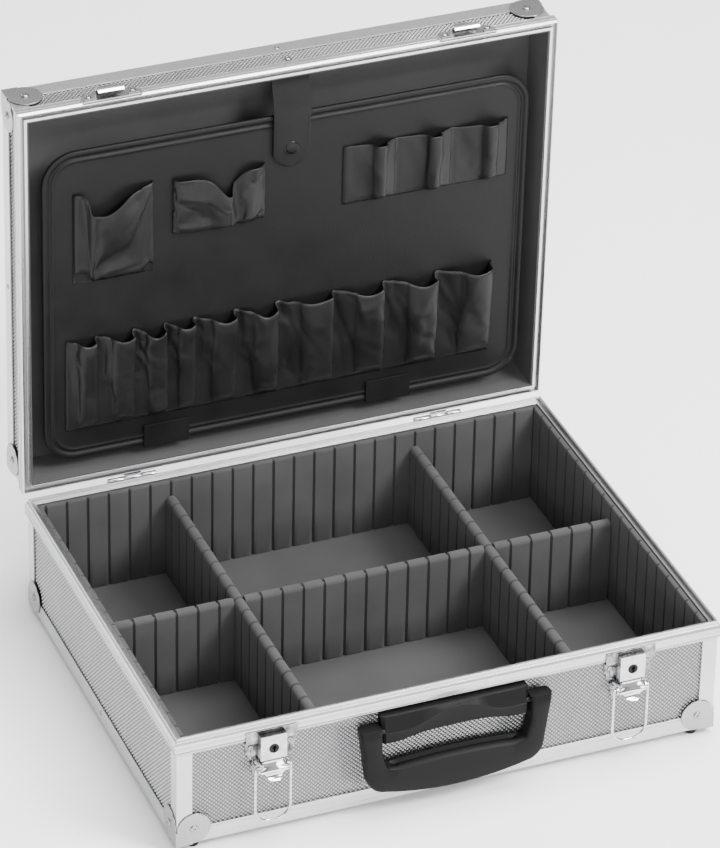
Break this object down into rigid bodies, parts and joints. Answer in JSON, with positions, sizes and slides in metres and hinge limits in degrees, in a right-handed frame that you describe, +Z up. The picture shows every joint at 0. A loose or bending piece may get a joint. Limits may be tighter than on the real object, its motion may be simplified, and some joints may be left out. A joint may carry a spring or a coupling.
{
  "type": "attache case",
  "caption": "Hinged aluminium tool case standing open, with slotted foam dividers in the base and a pocketed tool panel in the lid.",
  "frame": {"origin": "centre of the open case's footprint box, on the surface that its feet stand on", "axes": "+Z up, +Y to the hinges and the opened lid, handle at -Y, +X to the right seen from the handle"},
  "size_m": [0.4508, 0.4119, 0.4622],
  "materials": {
    "anodised_profile": "satin anodised",
    "embossed_panel": "embossed with a fine diamond grid",
    "plated_cap": "satin nickel plate",
    "plated_steel": "bright zinc plate",
    "chrome": "polished chrome",
    "black_rubber": "matt",
    "black_plastic": "fine moulded texture",
    "grey_foam": "matt fabric-faced foam",
    "floor_felt": "smooth felt",
    "lid_lining": "smooth matt lining",
    "black_leatherette": "fine grain, low sheen",
    "snap_metal": "dark lacquer"
  },
  "bodies": {
    "base": {"base_front_panel": "embossed_panel", "base_back_panel": "embossed_panel", "base_left_panel": "embossed_panel", "base_right_panel": "embossed_panel", "base_bottom_panel": "embossed_panel", "base_rim_frame": "anodised_profile", "base_bottom_frame": "anodised_profile", "base_corner_posts": "anodised_profile", "base_corner_caps": "plated_cap", "base_rivets": "plated_steel", "rubber_feet": "black_rubber", "case_screws": "plated_steel", "floor_pad": "floor_felt", "liner_front": "grey_foam", "liner_back": "grey_foam", "liner_left": "grey_foam", "liner_right": "grey_foam", "handle_bracket": "black_plastic", "latch_left_plate": "chrome", "latch_left_lock_box": "chrome", "latch_right_plate": "chrome", "latch_right_lock_box": "chrome", "hinge_base_leaves": "plated_steel", "pivot_pins": "plated_steel"},
    "lid": {"lid_front_panel": "embossed_panel", "lid_back_panel": "embossed_panel", "lid_left_panel": "embossed_panel", "lid_right_panel": "embossed_panel", "lid_top_panel": "embossed_panel", "lid_rim_frame": "anodised_profile", "lid_top_frame": "anodised_profile", "lid_corner_posts": "anodised_profile", "lid_corner_caps": "plated_cap", "lid_rivets": "plated_steel", "lid_strikes": "chrome", "hinge_lid_leaves": "plated_steel", "lid_wall_lining": "lid_lining", "lid_top_lining": "lid_lining", "strap_anchor": "black_leatherette"},
    "handle_grip": {"handle_grip": "black_plastic"},
    "tool_panel": {"tool_panel_board": "black_leatherette", "tool_panel_binding": "black_leatherette", "snap_stud": "snap_metal", "pocket_square": "black_leatherette", "pockets_upper": "black_leatherette", "pockets_lower": "black_leatherette", "panel_hinge_tabs": "black_leatherette"},
    "strap": {"retaining_strap": "black_leatherette", "snap_cap": "snap_metal"},
    "lever_left": {"latch_left_lever": "chrome"},
    "bail_left": {"latch_left_bail": "chrome"},
    "lock_plug_left": {"latch_left_lock_plug": "chrome"},
    "lever_right": {"latch_right_lever": "chrome"},
    "bail_right": {"latch_right_bail": "chrome"},
    "lock_plug_right": {"latch_right_lock_plug": "chrome"},
    "divider_long_left": {"divider_long_left": "grey_foam"},
    "divider_long_right": {"divider_long_right": "grey_foam"},
    "divider_cross_left": {"divider_cross_left": "grey_foam"},
    "divider_cross_middle": {"divider_cross_middle": "grey_foam"},
    "divider_cross_right": {"divider_cross_right": "grey_foam"}
  },
  "joints": [
    {"name": "lid_hinge", "type": "hinge", "parent": "base", "child": "lid", "pos_m": [0, 0.1605, 0.103], "axis": [-1, 0, 0], "range_deg": [-89, 0]},
    {"name": "handle_swing", "type": "hinge", "parent": "base", "child": "handle_grip", "pos_m": [0, -0.199, 0.0775], "axis": [-1, 0, 0], "range_deg": [0, 95]},
    {"name": "lever_left_swing", "type": "hinge", "parent": "base", "child": "lever_left", "pos_m": [-0.148, -0.19555, 0.0715], "axis": [1, 0, 0], "range_deg": [-65, 5]},
    {"name": "bail_left_swing", "type": "hinge", "parent": "lever_left", "child": "bail_left", "pos_m": [-0.148, -0.1976, 0.06586], "axis": [-1, 0, 0], "range_deg": [0, 180]},
    {"name": "lock_left_turn", "type": "hinge", "parent": "base", "child": "lock_plug_left", "pos_m": [-0.148, -0.19905, 0.0845], "axis": [0, -1, 0], "range_deg": [0, 90]},
    {"name": "lever_right_swing", "type": "hinge", "parent": "base", "child": "lever_right", "pos_m": [0.148, -0.19555, 0.0715], "axis": [1, 0, 0], "range_deg": [-65, 5]},
    {"name": "bail_right_swing", "type": "hinge", "parent": "lever_right", "child": "bail_right", "pos_m": [0.148, -0.1976, 0.06586], "axis": [-1, 0, 0], "range_deg": [0, 180]},
    {"name": "lock_right_turn", "type": "hinge", "parent": "base", "child": "lock_plug_right", "pos_m": [0.148, -0.19905, 0.0845], "axis": [0, -1, 0], "range_deg": [0, 90]},
    {"name": "long_left_lift", "type": "slide", "parent": "base", "child": "divider_long_left", "axis": [0, 0, 1], "range_m": [0, 0.092]},
    {"name": "long_right_lift", "type": "slide", "parent": "base", "child": "divider_long_right", "axis": [0, 0, 1], "range_m": [0, 0.092]},
    {"name": "cross_left_lift", "type": "slide", "parent": "base", "child": "divider_cross_left", "axis": [0, 0, 1], "range_m": [0, 0.092]},
    {"name": "cross_middle_lift", "type": "slide", "parent": "base", "child": "divider_cross_middle", "axis": [0, 0, 1], "range_m": [0, 0.092]},
    {"name": "cross_right_lift", "type": "slide", "parent": "base", "child": "divider_cross_right", "axis": [0, 0, 1], "range_m": [0, 0.092]},
    {"name": "tool_panel_tilt", "type": "hinge", "parent": "lid", "child": "tool_panel", "pos_m": [0, 0.17214, 0.12371], "axis": [1, 0, 0], "range_deg": [0, 8.5]},
    {"name": "strap_swing", "type": "hinge", "parent": "lid", "child": "strap", "pos_m": [0.003, 0.17151, 0.44634], "axis": [-1, 0, 0], "range_deg": [0, 72.25]}
  ],
  "couplings": [
    {"joint": "strap_swing", "follows": "tool_panel_tilt", "ratio": 8.5}
  ]
}
